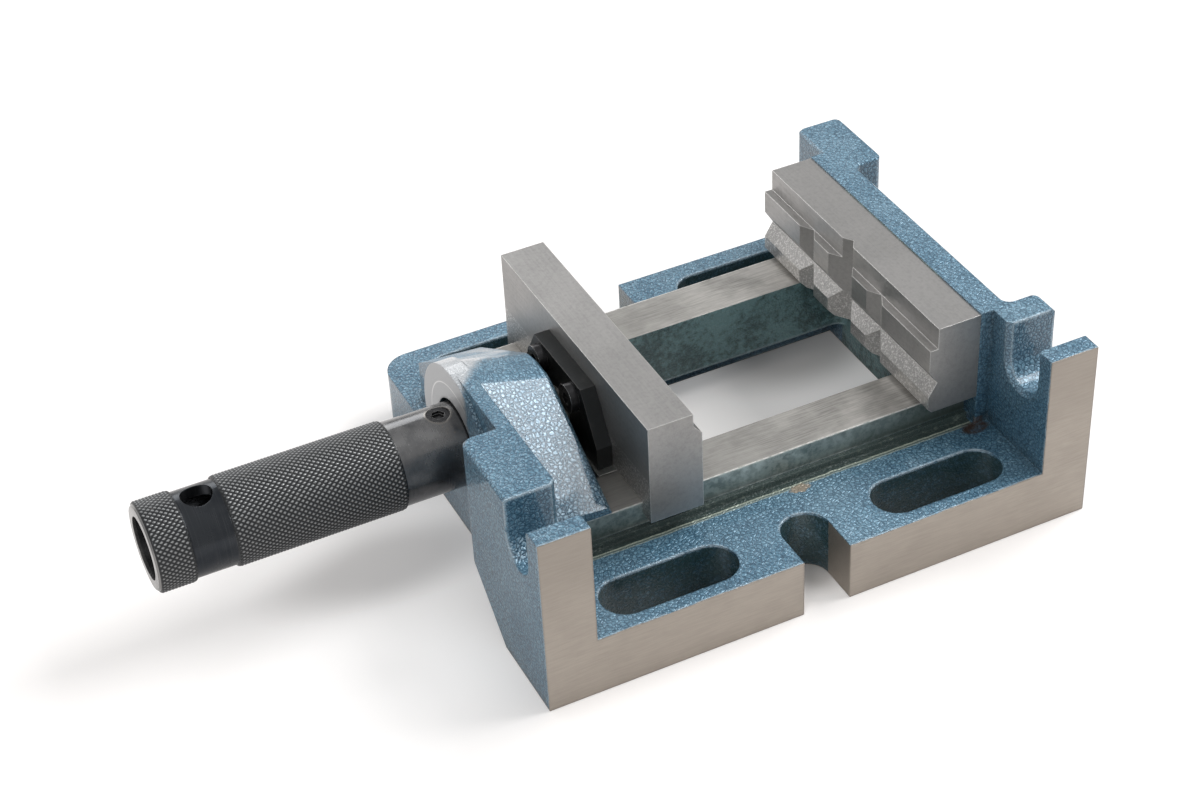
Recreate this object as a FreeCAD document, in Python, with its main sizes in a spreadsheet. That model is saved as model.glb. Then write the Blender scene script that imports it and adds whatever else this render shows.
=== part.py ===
import FreeCAD, Part
import math
import os
import Sketcher

# Drill press vise with a hollow handle that turns the nut, so that its screw slides without turning.
# Frame: X runs along the screw from the handle to the fixed jaw, with X = 0 at the middle of the
# casting. Y = 0 is the screw's axis seen from above, and the machined side face looks towards -Y.
# Z = 0 is the flat underside. All sizes are in millimetres.

DRIVING_SIZES = {
    # casting: flanges and rails
    "body_length": 198.0, "body_height": 67.5, "flange_height": 22.0,
    "near_reach": 88.5, "far_reach": 77.0, "far_corner_radius": 10.0,
    "rail_inner": 31.0, "rail_outer": 49.2, "rail_top": 33.5, "rail_underside": 10.0,
    "rail_foot": 1.8, "rail_foot_top": 24.5, "undercut_reach": 40.0, "window_corner_radius": 5.0,
    "slot_width": 17.5, "slot_length": 48.0, "slot_centre": 49.4,
    "near_slot_line": 74.5, "far_slot_line": 60.5,
    "notch_slot_width": 17.0, "notch_slot_depth": 22.0,
    # casting: machined side posts and the gap beside them
    "post_thickness": 17.6, "post_width": 8.0, "side_gap": 16.0, "side_gap_floor": 46.0,
    # casting: front wall, hub and the sloping bridge behind it
    "front_setback": 12.5, "front_boss_inner": 31.0, "front_wall_thickness": 5.1,
    "arch_rise": 23.0, "arch_run": 25.0,
    "screw_height": 40.2, "hub_end": 42.5, "hub_proud": 1.5,
    "bridge_foot_front": 38.0, "bridge_foot_rear": 36.0, "bridge_crest": 13.0, "bridge_drop": 6.5,
    "bridge_round": 14.0,
    # casting: rear wall with its seat for the fixed jaw
    "seat_setback": 22.3, "rear_wall_thickness": 10.6, "rear_boss_width": 11.0,
    "far_boss_start": 42.6, "far_boss_end": 73.9, "plan_round": 3.0,
    # casting: broken edges
    "boss_round": 4.0, "gap_break": 1.6, "bridge_break": 1.6, "top_break": 0.8,
    # jaws
    "jaw_width": 110.0, "jaw_drop": 0.5, "jaw_thickness": 19.0, "rest_gap": 11.0,
    "step_depth": 3.0, "step_height": 8.0, "step_flat": 4.8, "step_slope": 3.6, "jaw_chamfer": 1.5,
    "level_groove_height": 45.2, "level_groove_width": 10.4, "level_groove_depth": 3.2,
    "large_groove_width": 15.6, "large_groove_depth": 5.3, "groove_shift": 2.5,
    "small_groove_width": 10.0, "small_groove_depth": 2.9, "groove_spacing": 22.5,
    "lip_drop": 4.6,
    # guide block and keeper plate under the moving jaw
    "guide_overhang": 6.5, "keeper_thickness": 5.0, "keeper_inset": 1.0, "keeper_side_gap": 0.5,
    # bracket that ties the screw to the moving jaw
    "bracket_thickness": 5.5, "bracket_half_width": 28.0, "bracket_shoulder": 42.0,
    "bracket_top": 59.5, "bracket_top_half": 17.5, "pin_radius": 2.0, "pin_length": 17.0,
    "bracket_screw_line": 12.0, "bracket_screw_height": 53.5,
    # screw, nut and washer
    "spindle_radius": 8.0, "spindle_tail": 66.0, "journal_radius": 6.5, "journal_end_gap": 0.2,
    "nut_radius": 11.5, "flange_radius": 16.0, "flange_thickness": 4.0,
    "washer_thickness": 1.5, "hub_pocket_depth": 6.5,
    # hollow handle
    "handle_reach": 96.3, "grip_radius": 14.8, "neck_radius": 14.3, "handle_bore": 10.6,
    "cap_length": 12.5, "waist_length": 13.8, "grip_length": 57.5, "handle_chamfer": 1.0,
    "neck_entry": 2.5, "nut_entry": 17.5, "cross_hole_radius": 5.2,
    # fasteners
    "jaw_bolt_radius": 4.0, "jaw_bolt_line": 30.0, "jaw_bolt_depth": 15.5, "jaw_bolt_grip": 12.0,
    "jaw_bolt_head": 5.3, "jaw_bolt_flats": 13.0,
    "small_screw_radius": 3.0, "low_head_radius": 5.0, "low_head": 3.0, "low_head_socket": 4.0,
    "small_head": 4.0, "small_head_flats": 10.0, "jaw_screw_line": 22.0, "keeper_screw_line": 7.5,
    "bracket_screw_grip": 10.0, "jaw_screw_grip": 12.0, "keeper_screw_grip": 12.0,
    "grub_screw_radius": 4.0, "grub_screw_setback": 8.3, "grub_screw_sink": 0.5,
    "grub_screw_socket": 4.0, "screw_point_gap": 1.0,
    # clearances
    "slide_clearance": 0.1, "side_clearance": 0.2, "running_clearance": 0.05, "hole_clearance": 0.4,
    "end_float": 0.1, "neck_clearance": 1.2, "neck_end_gap": 0.5,
}

doc = FreeCAD.newDocument("drill_press_vise")
sheet = doc.addObject("Spreadsheet::Sheet", "Sizes")


class Size:
    """A length that carries its value and the sheet expression that gives it."""

    def __init__(self, value, text):
        self.value = value
        self.text = text

    def __add__(self, other):
        other = as_size(other)
        return Size(self.value + other.value, "(" + self.text + " + " + other.text + ")")

    def __sub__(self, other):
        other = as_size(other)
        return Size(self.value - other.value, "(" + self.text + " - " + other.text + ")")

    def __mul__(self, other):
        other = as_size(other)
        return Size(self.value * other.value, "(" + self.text + " * " + other.text + ")")

    def __truediv__(self, other):
        other = as_size(other)
        return Size(self.value / other.value, "(" + self.text + " / " + other.text + ")")

    def __radd__(self, other):
        return as_size(other) + self

    def __rsub__(self, other):
        return as_size(other) - self

    def __rmul__(self, other):
        return as_size(other) * self

    def __neg__(self):
        return self * -1.0


def as_size(number):
    """Wrap a plain number, so that it can stand in an expression."""
    if isinstance(number, Size):
        return number
    return Size(float(number), "%.9g" % number)


def fill_sheet():
    """Write each driving size into its own cell, with its name as the alias."""
    named = {}
    for row, (name, value) in enumerate(DRIVING_SIZES.items(), start=1):
        cell = "A%d" % row
        sheet.set(cell, "%.6g" % value)
        sheet.setAlias(cell, name)
        named[name] = Size(value, "Sizes." + name)
    doc.recompute()
    return named


class Sizes:
    """The driving sizes as attributes."""

    def __init__(self, named):
        self.__dict__.update(named)


d = Sizes(fill_sheet())
ZERO = as_size(0.0)

# Places that several pieces share

front_end = -d.body_length / 2
rear_end = d.body_length / 2
wall_face = front_end + d.front_setback
wall_back = wall_face + d.front_wall_thickness
hub_back = front_end + d.hub_end
hub_face = wall_face - d.hub_proud
hub_radius = d.body_height - d.screw_height
seat_face = rear_end - d.seat_setback
rear_wall_back = seat_face + d.rear_wall_thickness
post_back = rear_end - d.post_thickness
gap_start = d.post_width - d.near_reach
gap_end = gap_start + d.side_gap
fixed_front = seat_face - d.jaw_thickness
moving_back = hub_back + d.rest_gap
moving_front = moving_back + d.jaw_thickness
jaw_top = d.body_height - d.jaw_drop
jaw_underside = d.rail_top + d.slide_clearance
jaw_bolt_height = d.body_height - d.jaw_bolt_depth
bracket_back = moving_back - d.bracket_thickness
guide_back = moving_back - d.guide_overhang
keeper_top = d.rail_underside - d.side_clearance
keeper_bottom = keeper_top - d.keeper_thickness
pocket_floor = hub_back - d.hub_pocket_depth
flange_back = pocket_floor + d.washer_thickness + d.end_float + d.flange_thickness
handle_end = front_end - d.handle_reach
neck_end = hub_face + d.neck_entry
nut_start = neck_end - d.nut_entry
cross_hole_place = handle_end + d.cap_length + d.waist_length / 2
grub_screw_place = neck_end - d.grub_screw_setback
screw_row = (moving_back + moving_front) / 2 - d.guide_overhang / 2
pin_place = moving_back - d.bracket_thickness / 2


# Shared ways of drawing

def new_body(label):
    """Start one sub-part."""
    body = doc.addObject("PartDesign::Body", label)
    body.Label = label
    return body


def sketch_on(body, plane, offset, up=ZERO):
    """Add a sketch on one of the body's own planes, moved along its normal and up its own Y."""
    sketch = body.newObject("Sketcher::SketchObject", body.Label + "_sketch")
    support = [f for f in body.Origin.OriginFeatures if f.Role == plane][0]
    sketch.AttachmentSupport = [(support, "")]
    sketch.MapMode = "FlatFace"
    sketch.setExpression("AttachmentOffset.Base.z", as_size(offset).text)
    sketch.setExpression("AttachmentOffset.Base.y", as_size(up).text)
    return sketch


def pin_point(sketch, geometry, end, across, up):
    """Hold one end of a line or arc at a place given by expressions."""
    for kind, place in (("DistanceX", across), ("DistanceY", up)):
        row = sketch.addConstraint(Sketcher.Constraint(kind, -1, 1, geometry, end, place.value))
        sketch.setExpression("Constraints[%d]" % row, place.text)


def arc_through(start, finish, radius):
    """An arc of up to a quarter turn: counterclockwise for a positive radius."""
    chord = finish - start
    side = FreeCAD.Vector(chord.y, -chord.x, 0).normalize() * math.copysign(1.0, radius)
    reach = abs(radius)
    rise = reach - math.sqrt(max(reach ** 2 - chord.Length ** 2 / 4, 0.0))
    return Part.Arc(start, (start + finish) / 2 + side * rise, finish)


def outline(sketch, corners):
    """Draw a closed outline. A corner is (across, up), or (across, up, radius) where an arc of
    that radius starts, counterclockwise if the radius is positive."""
    corners = [tuple(as_size(c) for c in corner) for corner in corners]
    starts = [FreeCAD.Vector(c[0].value, c[1].value, 0) for c in corners]
    ends = []
    for index, corner in enumerate(corners):
        start, finish = starts[index], starts[(index + 1) % len(corners)]
        if len(corner) == 3:
            geometry = sketch.addGeometry(arc_through(start, finish, corner[2].value), False)
            flipped = (sketch.getPoint(geometry, 1) - start).Length > 1e-4
            first, last = (2, 1) if flipped else (1, 2)
            size = corner[2] if corner[2].value > 0 else -corner[2]
            row = sketch.addConstraint(Sketcher.Constraint("Radius", geometry, size.value))
            sketch.setExpression("Constraints[%d]" % row, size.text)
        else:
            geometry = sketch.addGeometry(Part.LineSegment(start, finish), False)
            first, last = 1, 2
        pin_point(sketch, geometry, first, corner[0], corner[1])
        ends.append((geometry, first, last))
    for index, (geometry, first, last) in enumerate(ends):
        following = ends[(index + 1) % len(ends)]
        sketch.addConstraint(
            Sketcher.Constraint("Coincident", geometry, last, following[0], following[1]))


def circle(sketch, across, up, radius):
    """Draw a circle."""
    across, up, radius = as_size(across), as_size(up), as_size(radius)
    centre = FreeCAD.Vector(across.value, up.value, 0)
    shape = Part.Circle(centre, FreeCAD.Vector(0, 0, 1), radius.value)
    geometry = sketch.addGeometry(shape, False)
    pin_point(sketch, geometry, 3, across, up)
    row = sketch.addConstraint(Sketcher.Constraint("Radius", geometry, radius.value))
    sketch.setExpression("Constraints[%d]" % row, radius.text)


def slot_corners(centre_x, centre_y, length, width):
    """A round-ended slot along the first axis, as an outline of quarter arcs and lines."""
    radius = width / 2
    left, right = centre_x - length / 2, centre_x + length / 2
    return [(left + radius, centre_y - radius), (right - radius, centre_y - radius, radius),
            (right, centre_y, radius), (right - radius, centre_y + radius),
            (left + radius, centre_y + radius, radius), (left, centre_y, radius)]


def rectangle(low_x, high_x, low_y, high_y):
    """The corners of a rectangle."""
    return [(low_x, low_y), (high_x, low_y), (high_x, high_y), (low_x, high_y)]


def pad(body, plane, offset, length, corners, up=ZERO):
    """Pad an outline along the plane's normal."""
    sketch = sketch_on(body, plane, offset, up)
    outline(sketch, corners)
    return extrude(body, "PartDesign::Pad", sketch, length)


def pocket(body, plane, offset, length, corners, towards_normal=False, up=ZERO):
    """Cut an outline out of the body."""
    sketch = sketch_on(body, plane, offset, up)
    outline(sketch, corners)
    return extrude(body, "PartDesign::Pocket", sketch, length, towards_normal)


def bore(body, plane, offset, length, circles, towards_normal=False):
    """Cut round holes, each given as (across, up, radius)."""
    sketch = sketch_on(body, plane, offset)
    for across, up, radius in circles:
        circle(sketch, across, up, radius)
    return extrude(body, "PartDesign::Pocket", sketch, length, towards_normal)


def extrude(body, kind, sketch, length, reverse=False):
    """Make a pad or a pocket from a sketch."""
    feature = body.newObject(kind, body.Label + "_feature")
    feature.Profile = sketch
    feature.setExpression("Length", as_size(length).text)
    feature.Reversed = reverse
    sketch.Visibility = False
    body.Tip = feature
    return feature


def turn(body, corners, up=ZERO):
    """Revolve a half profile, drawn in the XZ plane, about the line Z = up."""
    sketch = sketch_on(body, "XZ_Plane", ZERO, up)
    outline(sketch, corners)
    feature = body.newObject("PartDesign::Revolution", body.Label + "_turned")
    feature.Profile = sketch
    feature.ReferenceAxis = (sketch, ["H_Axis"])
    feature.Angle = 360.0
    body.Tip = feature
    return feature


def break_edges(body, size, wanted, kind="PartDesign::Chamfer", size_name="Size"):
    """Chamfer or fillet the edges of the form so far whose middle point passes the test."""
    doc.recompute()
    base = body.Tip
    names = []
    for index, edge in enumerate(base.Shape.Edges):
        middle = edge.valueAt((edge.FirstParameter + edge.LastParameter) / 2)
        if wanted(middle):
            names.append("Edge%d" % (index + 1))
    feature = body.newObject(kind, body.Label + "_edges")
    feature.Base = (base, names)
    feature.setExpression(size_name, size.text)
    body.Tip = feature


def near(value, size):
    """Whether a coordinate lies at a shared place."""
    return abs(value - as_size(size).value) < 0.01


# Base casting: a grey iron casting with two bolt flanges, two machined rails over a window, a front
# wall with the screw's hub, and a rear wall that backs the fixed jaw.

def flange_outline():
    """Plan of the flanges: a U slot in the middle of each side, round corners on the far side."""
    half_slot = d.notch_slot_width / 2
    near_edge, far_edge = -d.near_reach, d.far_reach
    near_bottom = near_edge + d.notch_slot_depth
    far_bottom = far_edge - d.notch_slot_depth
    corner = d.far_corner_radius
    return [(wall_face, near_edge), (-half_slot, near_edge),
            (-half_slot, near_bottom - half_slot, -half_slot), (ZERO, near_bottom, -half_slot),
            (half_slot, near_bottom - half_slot), (half_slot, near_edge), (rear_end, near_edge),
            (rear_end, far_edge - corner, corner), (rear_end - corner, far_edge),
            (half_slot, far_edge), (half_slot, far_bottom + half_slot, -half_slot),
            (ZERO, far_bottom, -half_slot), (-half_slot, far_bottom + half_slot),
            (-half_slot, far_edge), (wall_face + corner, far_edge, corner),
            (wall_face, far_edge - corner)]


def rear_wall_outline():
    """Plan of the rear wall: a thin middle with the jaw's seat, and a boss towards each side."""
    r = d.plan_round
    seat_half = d.jaw_width / 2 + d.side_clearance
    boss_side = gap_end + d.rear_boss_width
    return [(post_back, -d.near_reach), (rear_end, -d.near_reach), (rear_end, boss_side - r, r),
            (rear_end - r, boss_side), (rear_wall_back + r, boss_side, -r),
            (rear_wall_back, boss_side + r), (rear_wall_back, d.far_boss_start - r, -r),
            (rear_wall_back + r, d.far_boss_start), (rear_end - r, d.far_boss_start, r),
            (rear_end, d.far_boss_start + r), (rear_end, d.far_boss_end - r, r),
            (rear_end - r, d.far_boss_end), (post_back + r, d.far_boss_end, r),
            (post_back, d.far_boss_end - r), (post_back, seat_half), (seat_face, seat_half),
            (seat_face, -seat_half), (post_back, -seat_half)]


def bridge_outline(foot, crest, plane_offset, body):
    """Cross-section of the bridge: upright sides, sloping flanks and a rounded crest."""
    sketch = sketch_on(body, "YZ_Plane", plane_offset)
    run = d.rail_outer - d.bridge_crest / 2
    lean = (crest - foot).value / run.value
    flat = d.bridge_round * math.tan(math.atan(lean) / 2)
    tip_y = d.bridge_crest / 2
    slope_y = flat * math.cos(math.atan(lean))
    slope_z = flat * math.sin(math.atan(lean))
    outline(sketch, [
        (-d.rail_outer, d.rail_underside), (d.rail_outer, d.rail_underside),
        (d.rail_outer, foot), (tip_y + slope_y, crest - slope_z, d.bridge_round),
        (tip_y - flat, crest), (flat - tip_y, crest, d.bridge_round),
        (-tip_y - slope_y, crest - slope_z), (-d.rail_outer, foot)])
    return sketch


def build_casting():
    body = new_body("base_casting")
    pad(body, "XY_Plane", ZERO, d.flange_height, flange_outline())
    pad(body, "XY_Plane", ZERO, d.rail_top,
        rectangle(wall_back, post_back, -d.rail_outer, d.rail_outer))
    foot = d.rail_outer + d.rail_foot
    pad(body, "XY_Plane", ZERO, d.rail_foot_top, rectangle(wall_back, post_back, -foot, foot))
    r = d.window_corner_radius
    pocket(body, "XY_Plane", d.rail_top, d.rail_top, [
        (hub_back, -d.rail_inner), (seat_face - r, -d.rail_inner, r),
        (seat_face, r - d.rail_inner), (seat_face, d.rail_inner - r, r),
        (seat_face - r, d.rail_inner), (hub_back, d.rail_inner)])
    pocket(body, "XY_Plane", d.rail_underside, d.rail_underside,
           rectangle(hub_back, seat_face, -d.undercut_reach, d.undercut_reach))
    for line in (-d.near_slot_line, d.far_slot_line):
        for along in (-d.slot_centre, d.slot_centre):
            pocket(body, "XY_Plane", d.flange_height, d.flange_height,
                   slot_corners(along, line, d.slot_length, d.slot_width))
    pad(body, "YZ_Plane", front_end, d.front_setback, [
        (-d.near_reach, ZERO), (-d.front_boss_inner - d.arch_run, ZERO),
        (-d.front_boss_inner, d.arch_rise), (-d.front_boss_inner, d.body_height),
        (-d.near_reach, d.body_height)])
    pad(body, "YZ_Plane", wall_face, d.front_wall_thickness, [
        (-d.near_reach, ZERO), (hub_radius, ZERO), (hub_radius, d.screw_height, hub_radius),
        (ZERO, d.body_height), (-d.near_reach, d.body_height)])
    loft = body.newObject("PartDesign::AdditiveLoft", "bridge")
    loft.Profile = bridge_outline(d.bridge_foot_front, d.body_height, wall_back, body)
    loft.Sections = [bridge_outline(d.bridge_foot_rear, d.body_height - d.bridge_drop, hub_back, body)]
    loft.Ruled = True
    body.Tip = loft
    hub = sketch_on(body, "YZ_Plane", hub_face)
    circle(hub, ZERO, d.screw_height, hub_radius)
    extrude(body, "PartDesign::Pad", hub, wall_back - hub_face)
    pad(body, "XY_Plane", ZERO, d.body_height, rear_wall_outline())
    half_gap = d.side_gap / 2
    gap_middle = gap_start + half_gap
    pocket(body, "YZ_Plane", rear_end, d.body_length, [
        (gap_start, d.body_height), (gap_start, d.side_gap_floor + half_gap, half_gap),
        (gap_middle, d.side_gap_floor, half_gap), (gap_end, d.side_gap_floor + half_gap),
        (gap_end, d.body_height)])
    axis = d.screw_height
    bore(body, "YZ_Plane", hub_back, hub_back - hub_face,
         [(ZERO, axis, d.nut_radius + d.running_clearance)])
    bore(body, "YZ_Plane", hub_back, d.hub_pocket_depth,
         [(ZERO, axis, d.flange_radius + d.hole_clearance)])
    bore(body, "YZ_Plane", hub_face, d.neck_entry + d.neck_end_gap,
         [(ZERO, axis, d.neck_radius + d.neck_clearance)], towards_normal=True)
    hole = d.jaw_bolt_radius + d.hole_clearance
    bore(body, "YZ_Plane", rear_wall_back, d.rear_wall_thickness,
         [(line, jaw_bolt_height, hole) for line in (-d.jaw_bolt_line, d.jaw_bolt_line)])
    break_cast_edges(body)
    return body


def break_cast_edges(body):
    """Round the front boss and break the other cast edges. Those of machined faces stay sharp."""
    top, boss_side = d.body_height, -d.front_boss_inner
    break_edges(body, d.boss_round, lambda at: near(at.x, front_end) and near(at.y, boss_side),
                "PartDesign::Fillet", "Radius")
    for wall in (wall_back, post_back):
        break_edges(body, d.gap_break, lambda at: near(at.x, wall) and near(at.y, gap_end))
    break_edges(body, d.bridge_break, lambda at: near(at.x, hub_back)
                and at.z > d.bridge_foot_rear.value and abs(at.y) < d.rail_outer.value - 0.01)
    break_edges(body, d.top_break, lambda at: near(at.z, top) and at.x < wall_face.value
                and (near(at.y, boss_side) or near(at.x, front_end)) and at.y > gap_end.value)
    break_edges(body, d.top_break, lambda at: near(at.z, top) and at.x > rear_wall_back.value - 0.01
                and at.y > gap_end.value + 0.01)
    break_edges(body, d.top_break, lambda at: near(at.z, top) and near(at.y, gap_start))


# Jaws: ground steel plates with a step along the top, which is square on the fixed jaw and sloping
# on the moving one. The fixed jaw holds round bars in its prism grooves.

def build_fixed_jaw():
    body = new_body("fixed_jaw")
    half = d.jaw_width / 2
    ledge = fixed_front + d.step_depth
    pad(body, "XZ_Plane", -half, d.jaw_width, [
        (seat_face, d.rail_top), (fixed_front + d.jaw_chamfer, d.rail_top),
        (fixed_front, d.rail_top + d.jaw_chamfer), (fixed_front, jaw_top - d.step_height),
        (ledge, jaw_top - d.step_height), (ledge, jaw_top), (seat_face, jaw_top)])
    pocket(body, "XZ_Plane", half, d.jaw_width, [
        (fixed_front, d.level_groove_height - d.level_groove_width / 2),
        (fixed_front + d.level_groove_depth, d.level_groove_height),
        (fixed_front, d.level_groove_height + d.level_groove_width / 2)])
    shift, spacing = d.groove_shift, d.groove_spacing
    upright = [(shift, d.large_groove_width, d.large_groove_depth),
               (shift - spacing, d.small_groove_width, d.small_groove_depth),
               (shift + spacing, d.small_groove_width, d.small_groove_depth)]
    for across, width, depth in upright:
        pocket(body, "XY_Plane", jaw_top, jaw_top, [
            (fixed_front, across - width / 2), (fixed_front + depth, across),
            (fixed_front, across + width / 2)])
    bore(body, "YZ_Plane", seat_face, d.jaw_bolt_grip,
         [(-d.jaw_bolt_line, jaw_bolt_height, d.jaw_bolt_radius),
          (d.jaw_bolt_line, jaw_bolt_height, d.jaw_bolt_radius)])
    return body


def build_moving_jaw():
    body = new_body("moving_jaw")
    half = d.jaw_width / 2
    lip_inner = d.rail_outer + d.side_clearance
    ledge, ledge_top = moving_front - d.step_depth, jaw_top - d.step_flat
    pad(body, "XZ_Plane", -half, d.jaw_width, [
        (moving_back, jaw_underside), (moving_front - d.jaw_chamfer, jaw_underside),
        (moving_front, jaw_underside + d.jaw_chamfer), (moving_front, ledge_top - d.step_slope),
        (ledge, ledge_top), (ledge, jaw_top), (moving_back, jaw_top)])
    for low, high in ((-half, -lip_inner), (lip_inner, half)):
        pad(body, "XZ_Plane", -high, high - low,
            rectangle(moving_back, moving_front, jaw_underside - d.lip_drop, jaw_underside + d.jaw_chamfer))
    bore(body, "YZ_Plane", moving_back, d.bracket_screw_grip, [
        (-d.bracket_screw_line, d.bracket_screw_height, d.small_screw_radius),
        (d.bracket_screw_line, d.bracket_screw_height, d.small_screw_radius)], towards_normal=True)
    bore(body, "XY_Plane", jaw_underside, d.jaw_screw_grip,
         [(screw_row, line, d.small_screw_radius) for line in (-d.jaw_screw_line, d.jaw_screw_line)],
         towards_normal=True)
    return body


# Guide block and keeper plate: they run between and under the rails and hold the jaw down

def build_guide_block():
    body = new_body("guide_block")
    half = d.rail_inner - d.side_clearance
    hole = d.small_screw_radius + d.hole_clearance
    pad(body, "XY_Plane", keeper_top, jaw_underside - keeper_top,
        rectangle(guide_back, moving_front, -half, half))
    bore(body, "XY_Plane", jaw_underside, jaw_underside - keeper_top,
         [(screw_row, line, hole) for line in (-d.jaw_screw_line, d.jaw_screw_line)])
    bore(body, "XY_Plane", keeper_top, d.keeper_screw_grip,
         [(screw_row, line, d.small_screw_radius)
          for line in (-d.keeper_screw_line, d.keeper_screw_line)], towards_normal=True)
    return body


def build_keeper_plate():
    body = new_body("keeper_plate")
    half = d.undercut_reach - d.keeper_side_gap
    hole = d.small_screw_radius + d.hole_clearance
    lines = (-d.jaw_screw_line, -d.keeper_screw_line, d.keeper_screw_line, d.jaw_screw_line)
    pad(body, "XY_Plane", keeper_bottom, d.keeper_thickness,
        rectangle(guide_back + d.keeper_inset, moving_front - d.keeper_inset, -half, half))
    bore(body, "XY_Plane", keeper_top, d.keeper_thickness, [(screw_row, line, hole) for line in lines])
    return body


# Bracket and screw: the screw doesn't turn. Its journal is pinned into a bracket on the jaw's back.

def build_spindle_bracket():
    body = new_body("spindle_bracket")
    pad(body, "YZ_Plane", bracket_back, d.bracket_thickness, [
        (-d.bracket_half_width, jaw_underside), (d.bracket_half_width, jaw_underside),
        (d.bracket_half_width, d.bracket_shoulder), (d.bracket_top_half, d.bracket_top),
        (-d.bracket_top_half, d.bracket_top), (-d.bracket_half_width, d.bracket_shoulder)])
    bore(body, "YZ_Plane", moving_back, d.bracket_thickness,
         [(ZERO, d.screw_height, d.journal_radius + d.running_clearance)])
    hole = d.small_screw_radius + d.hole_clearance
    bore(body, "YZ_Plane", moving_back, d.bracket_thickness,
         [(side, d.bracket_screw_height, hole)
          for side in (-d.bracket_screw_line, d.bracket_screw_line)])
    bore(body, "XY_Plane", jaw_underside, d.pin_length, [(pin_place, ZERO, d.pin_radius)],
         towards_normal=True)
    return body


def build_spindle():
    body = new_body("spindle")
    tail = front_end - d.spindle_tail
    tip = moving_back - d.journal_end_gap
    turn(body, [
        (tail, ZERO), (tip, ZERO), (tip, d.journal_radius), (bracket_back, d.journal_radius),
        (bracket_back, d.spindle_radius), (tail, d.spindle_radius)], d.screw_height)
    bore(body, "XY_Plane", d.screw_height + d.spindle_radius, d.spindle_radius * 2.0,
         [(pin_place, ZERO, d.pin_radius)])
    return body


def build_spindle_pin():
    pin = doc.addObject("Part::Cylinder", "spindle_pin")
    pin.Label = "spindle_pin"
    pin.setExpression("Radius", d.pin_radius.text)
    pin.setExpression("Height", d.pin_length.text)
    pin.setExpression("Placement.Base.x", pin_place.text)
    pin.setExpression("Placement.Base.z", jaw_underside.text)
    return pin


def build_spindle_nut():
    body = new_body("spindle_nut")
    flange_face = flange_back - d.flange_thickness
    inner = d.spindle_radius + d.running_clearance
    turn(body, [
        (nut_start, inner), (flange_back, inner), (flange_back, d.flange_radius),
        (flange_face, d.flange_radius), (flange_face, d.nut_radius), (nut_start, d.nut_radius)],
        d.screw_height)
    return body


def build_thrust_washer():
    body = new_body("thrust_washer")
    turn(body, [
        (pocket_floor, d.nut_radius + d.hole_clearance),
        (pocket_floor + d.washer_thickness, d.nut_radius + d.hole_clearance),
        (pocket_floor + d.washer_thickness, d.flange_radius),
        (pocket_floor, d.flange_radius)], d.screw_height)
    return body


# Handle: a hollow steel sleeve, knurled on its cap and grip. It carries the nut in its neck, hides
# the screw in its bore, and takes a bar through its waist.

def build_handle():
    body = new_body("handle")
    c = d.handle_chamfer
    cap_end = handle_end + d.cap_length
    waist_end = cap_end + d.waist_length
    grip_end = waist_end + d.grip_length
    lip = d.grip_radius - d.neck_radius
    turn(body, [
        (handle_end, d.handle_bore), (nut_start, d.handle_bore), (nut_start, d.nut_radius),
        (neck_end, d.nut_radius), (neck_end, d.neck_radius),
        (grip_end, d.neck_radius), (grip_end - lip, d.grip_radius),
        (waist_end + lip, d.grip_radius), (waist_end, d.neck_radius),
        (cap_end, d.neck_radius), (cap_end - lip, d.grip_radius),
        (handle_end + c, d.grip_radius), (handle_end, d.grip_radius - c)], d.screw_height)
    across = d.grip_radius * 2.0
    bore(body, "XY_Plane", d.screw_height + d.grip_radius, across,
         [(cross_hole_place, ZERO, d.cross_hole_radius)])
    bore(body, "XY_Plane", d.screw_height + d.grip_radius, d.grip_radius,
         [(grub_screw_place, ZERO, d.grub_screw_radius)])
    return body


# Fasteners: each is drawn head up along its own Z axis and then placed

def hexagon(across_flats):
    """The corners of a hexagon for a head or a socket."""
    half = across_flats / 2
    far, close = across_flats / math.sqrt(3.0), across_flats / math.sqrt(12.0)
    return [(far, ZERO), (close, half), (-close, half), (-far, ZERO), (-close, -half),
            (close, -half)]


def socket_screw(label, radius, head_radius, head, length, flats):
    """A cylinder-head screw with a hexagonal socket."""
    body = new_body(label)
    sketch = sketch_on(body, "XZ_Plane", ZERO)
    outline(sketch, [
        (ZERO, -length), (radius, -length), (radius, ZERO), (head_radius, ZERO),
        (head_radius, head), (ZERO, head)])
    turned = body.newObject("PartDesign::Revolution", label + "_turned")
    turned.Profile = sketch
    turned.ReferenceAxis = (sketch, ["V_Axis"])
    body.Tip = turned
    pocket(body, "XY_Plane", head, head / 2, hexagon(flats))
    return body


def hex_screw(label, radius, flats, head, length):
    """A screw with a hexagonal head."""
    body = new_body(label)
    pad(body, "XY_Plane", ZERO, head, hexagon(flats))
    shank = sketch_on(body, "XY_Plane", ZERO)
    circle(shank, ZERO, ZERO, radius)
    extrude(body, "PartDesign::Pad", shank, length, reverse=True)
    return body


def put(piece, along, across, up, axis, angle):
    """Turn a piece about an axis and move it to its place."""
    piece.Placement.Rotation = FreeCAD.Rotation(axis, angle)
    for name, size in (("x", along), ("y", across), ("z", up)):
        piece.setExpression("Placement.Base." + name, as_size(size).text)
    return piece


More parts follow.
